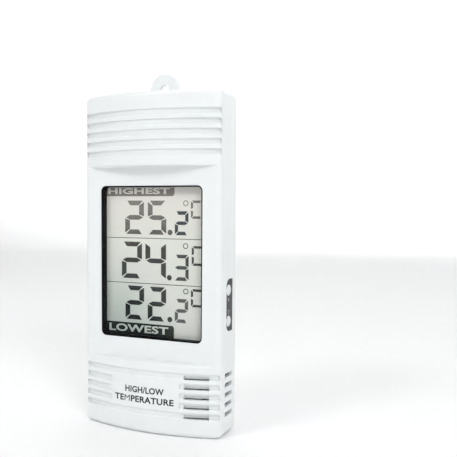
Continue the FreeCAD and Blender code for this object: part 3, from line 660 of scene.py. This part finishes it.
def cover_nodes():
    """Give every CAD node the material of its slot."""
    made = {**plastics(), **metals_and_sheets()}
    for row in frame["record"]["subparts"]:
        finish(nodes[row["node"]], made[row["material_slot"]])


# ---- display artwork -----------------------------------------------------------------------

# Sizes and places on the display are in millimetres.
INK_FRONT = DISPLAY_Y - 0.05 * MM
INK_BACK = DISPLAY_Y + 0.02 * MM
WORD_FRONT = INK_FRONT - 0.01 * MM

SEGMENTS = {"2": "abged", "3": "abgcd", "4": "fgbc", "5": "afgcd"}
UNIT_SEGMENTS = "afed"
# For each size of character: the widths of its upright and flat bars, and the gap between bars.
LARGE_BARS = (2.45, 2.1, 0.2)
SMALL_BARS = (1.55, 1.55, 0.16)
UNIT_BARS = (1.0, 1.05, 0.16)
UNIT_TRIM = 1.0  # the unit's bars are drawn this much too long, then cut square at its width
POINT_RADIUS = 1.2
DEGREE_RADIUS = 1.25
DEGREE_LINE = 0.35

# Each row: its digits, the base and height of the large pair, where each of the pair starts and
# how wide it is, the point's place, the small digit's corner and size, the degree ring's place,
# and the unit's corner and size.
ROWS = (
    {"name": "highest", "digits": "252", "base": 87.7, "tall": 15.1,
     "large_x": (-15.0, -3.3), "wide": (9.7, 9.3), "point": (7.9, 88.8),
     "small": (10.3, 87.7, 6.6, 10.5), "degree": (15.6, 101.7), "unit": (18.1, 95.0, 4.6, 7.9)},
    {"name": "present", "digits": "243", "base": 67.6, "tall": 16.6,
     "large_x": (-16.8, -4.5), "wide": (10.5, 10.4), "point": (7.6, 68.7),
     "small": (10.1, 67.6, 7.0, 11.5), "degree": (15.6, 83.0), "unit": (18.6, 74.5, 5.1, 8.6)},
    {"name": "lowest", "digits": "222", "base": 48.8, "tall": 15.4,
     "large_x": (-14.9, -3.3), "wide": (9.7, 9.3), "point": (7.9, 50.0),
     "small": (10.4, 48.9, 6.5, 10.6), "degree": (15.8, 63.0), "unit": (18.3, 56.3, 5.0, 7.9)},
)
RULE_HEIGHTS = (85.95, 65.5)
RULE_END = 24.7
RULE_HALF = 0.14

BANNER_RIGHT = 10.0
BANNER_RADIUS = 1.2
BANNER_MARGIN = 0.05
UPPER_BANNER_FOOT = 104.8
UPPER_BANNER_MARGIN = 0.2
LOWER_BANNER_TOP = 47.2
# Each banner word: its piece, text, lower left corner, size, and how bold it is.
BANNER_WORDS = (
    ("banner_word_upper", "HIGHEST", (-24.0, 105.7), (31.8, 2.75), 0.035),
    ("banner_word_lower", "LOWEST", (-23.6, 42.9), (30.8, 3.5), 0.03),
)


def segment_outlines(x, z, width, height, upright, flat, gap):
    """The seven bars of a digit whose lower left corner is (x, z), with mitred ends."""
    right, top, middle = x + width, z + height, z + height / 2
    inner_left, inner_right = x + upright, right - upright
    inner_foot, inner_top = z + flat, top - flat
    half = flat / 2
    nib = flat * 0.45
    tip = nib * 0.4
    bevel = half * 0.3
    half_gap, wide_gap, double_gap = gap * 0.5, gap * 1.2, gap * 2
    # Where the upright bars end beside the middle bar, at their outer and inner edges.
    outer_above, outer_below = middle + gap + bevel, middle - gap - bevel
    inner_above, inner_below = middle + half + wide_gap, middle - half - wide_gap
    near, far = inner_left + half_gap, inner_right - half_gap
    return {
        "a": [(x + nib + gap, top), (right - gap - tip, top), (inner_right - gap, inner_top),
              (inner_left + gap, inner_top)],
        "b": [(right, top - gap - tip), (right, outer_above), (inner_right, inner_above),
              (inner_right, inner_top - gap)],
        "c": [(right, outer_below), (right, z + gap + tip), (inner_right, inner_foot + gap),
              (inner_right, inner_below)],
        "d": [(x + tip + gap, z), (right - gap - nib, z), (inner_right - gap, inner_foot),
              (inner_left + gap, inner_foot)],
        "e": [(x, outer_below), (inner_left, inner_below), (inner_left, inner_foot + gap),
              (x, z + gap + tip)],
        "f": [(x, top - gap - tip), (inner_left, inner_top - gap), (inner_left, inner_above),
              (x, outer_above)],
        "g": [(x + double_gap, middle), (near, middle + half), (far, middle + half),
              (right - double_gap, middle), (far, middle - half), (near, middle - half)],
    }


def ink_prism(outline):
    return prism([(x * MM, z * MM) for x, z in outline], INK_FRONT, INK_BACK)


def digit(character, x, z, width, height, bars):
    outlines = segment_outlines(x, z, width, height, *bars)
    return [ink_prism(outlines[key]) for key in SEGMENTS[character]]


def ink_piece(name, parts, ink):
    piece = facing_out(mesh_piece(name, *gather(parts)))
    finish(piece, ink)


def unit_bars(x, z, width, height):
    """The unit's letter: an open digit with its right-hand ends cut square."""
    outlines = segment_outlines(x, z, width + UNIT_TRIM, height, *UNIT_BARS)
    return [ink_prism([(min(px, x + width), pz) for px, pz in outlines[key]]) for key in UNIT_SEGMENTS]


def make_reading(row, large_ink, small_ink):
    """One row: a large pair of digits, the point and the unit, and a small digit in its own ink."""
    large = []
    for character, x, width in zip(row["digits"], row["large_x"], row["wide"]):
        large += digit(character, x, row["base"], width, row["tall"], LARGE_BARS)
    large.append(ink_prism(disc_outline(*row["point"], POINT_RADIUS)))
    x, z = row["degree"]
    large.append(ring(x * MM, z * MM, DEGREE_RADIUS * MM, DEGREE_LINE * MM, INK_FRONT, INK_BACK))
    large += unit_bars(*row["unit"])
    small = digit(row["digits"][2], *row["small"], SMALL_BARS)
    ink_piece(f"reading_{row['name']}_large", large, large_ink)
    ink_piece(f"reading_{row['name']}_small", small, small_ink)


def make_banners(ink):
    """The dark strips at the head and foot of the display, each round at its free corner."""
    left = window_low.x + BANNER_MARGIN * MM
    right = BANNER_RIGHT * MM
    radius = BANNER_RADIUS * MM
    upper = rounded_box(left, right, UPPER_BANNER_FOOT * MM, window_high.z - UPPER_BANNER_MARGIN * MM,
                        (0, radius, 0, 0))
    lower = rounded_box(left, right, window_low.z + BANNER_MARGIN * MM, LOWER_BANNER_TOP * MM,
                        (0, 0, radius, 0))
    for name, outline in (("display_banner_upper", upper), ("display_banner_lower", lower)):
        ink_piece(name, [prism(outline, INK_FRONT, INK_BACK)], ink)


def banner_word(name, text, corner, size, bold, material):
    """A word on an upright plane that faces -Y."""
    x, z = (place * MM for place in corner)
    width, height = (side * MM for side in size)
    mesh = lettering(text, width, height, bold)
    for vertex in mesh.vertices:
        vertex.co = (x + vertex.co.x, WORD_FRONT - vertex.co.z, z + vertex.co.y)
    piece = facing_out(object_of(name, mesh))
    finish(piece, material)


def make_display():
    large_ink = display_ink("display_ink_large", LARGE_INK_TONES)
    small_ink = display_ink("display_ink_small", SMALL_INK_TONES)
    for row in ROWS:
        make_reading(row, large_ink, small_ink)
    rules = [ink_prism([(-RULE_END, z - RULE_HALF), (RULE_END, z - RULE_HALF),
                        (RULE_END, z + RULE_HALF), (-RULE_END, z + RULE_HALF)]) for z in RULE_HEIGHTS]
    ink_piece("display_rules", rules, large_ink)
    make_banners(large_ink)
    ground = nodes["display_polariser"].data.materials[0]
    for name, text, corner, size, bold in BANNER_WORDS:
        banner_word(name, text, corner, size, bold, ground)


# ---- printed marks -------------------------------------------------------------------------

PRINT_BOLD = 0.027
PRINT_LIFT = 0.004 * MM
PRINT_HEIGHT = 2.85 * MM
# Each line: its piece, text, the x of its middle, the z of its foot and its width in
# millimetres, and the stretch of it that keeps its plain strokes.
PRINT_LINES = (
    ("case_print_upper", "HIGH/LOW", -0.3, 17.9, 19.4, None),
    ("case_print_lower", "TEMPERATURE", -0.9, 13.6, 29.7, (0.17, 0.31)),
)

MARK_FRONT = -0.03 * MM
MARK_BACK = 0.01 * MM
ARROW = ((0, 0.9), (-0.95, -0.2), (-0.4, -0.2), (-0.4, -0.95), (0.4, -0.95), (0.4, -0.2), (0.95, -0.2))
ARROW_Z = 60.0 * MM
RING_MARK_RADIUS = 0.95 * MM
RING_MARK_LINE = 0.3 * MM
RING_MARK_Z = 54.5 * MM


def make_case_print():
    """Two lines printed on the lower bulge, which they follow."""
    ink = print_ink()
    for name, text, middle, z, width, fine in PRINT_LINES:
        mesh = lettering(text, width * MM, PRINT_HEIGHT, PRINT_BOLD, fine)
        start = (middle - width / 2) * MM
        for vertex in mesh.vertices:
            x, up, out = vertex.co
            vertex.co = (start + x, bulge_y(start + x) - out - PRINT_LIFT, z * MM + up)
        piece = facing_out(object_of(name, mesh))
        finish(piece, ink)


def make_button_marks():
    """Two small marks on the button panel: a filled up-arrow and an open ring."""
    face_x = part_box("button_panel")[1][0]
    low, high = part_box("button_upper")
    middle_y = (low[1] + high[1]) / 2
    ink = moulded("button_mark_ink", (0.34, 0.34, 0.35), gloss=(0.4, 0.5))
    arrow = prism([(a * MM, b * MM) for a, b in ARROW], MARK_FRONT, MARK_BACK)
    open_ring = ring(0, 0, RING_MARK_RADIUS, RING_MARK_LINE, MARK_FRONT, MARK_BACK)
    for name, (points, faces), z in (("button_mark_upper", arrow, ARROW_Z),
                                     ("button_mark_lower", open_ring, RING_MARK_Z)):
        # The outline's own x runs along y here, and its depth runs along -x.
        turned = [(face_x - y, middle_y + x, z + up) for x, y, up in points]
        piece = facing_out(mesh_piece(name, turned, faces))
        finish(piece, ink)


make_camera()
make_studio()
cover_nodes()
make_display()
make_case_print()
make_button_marks()
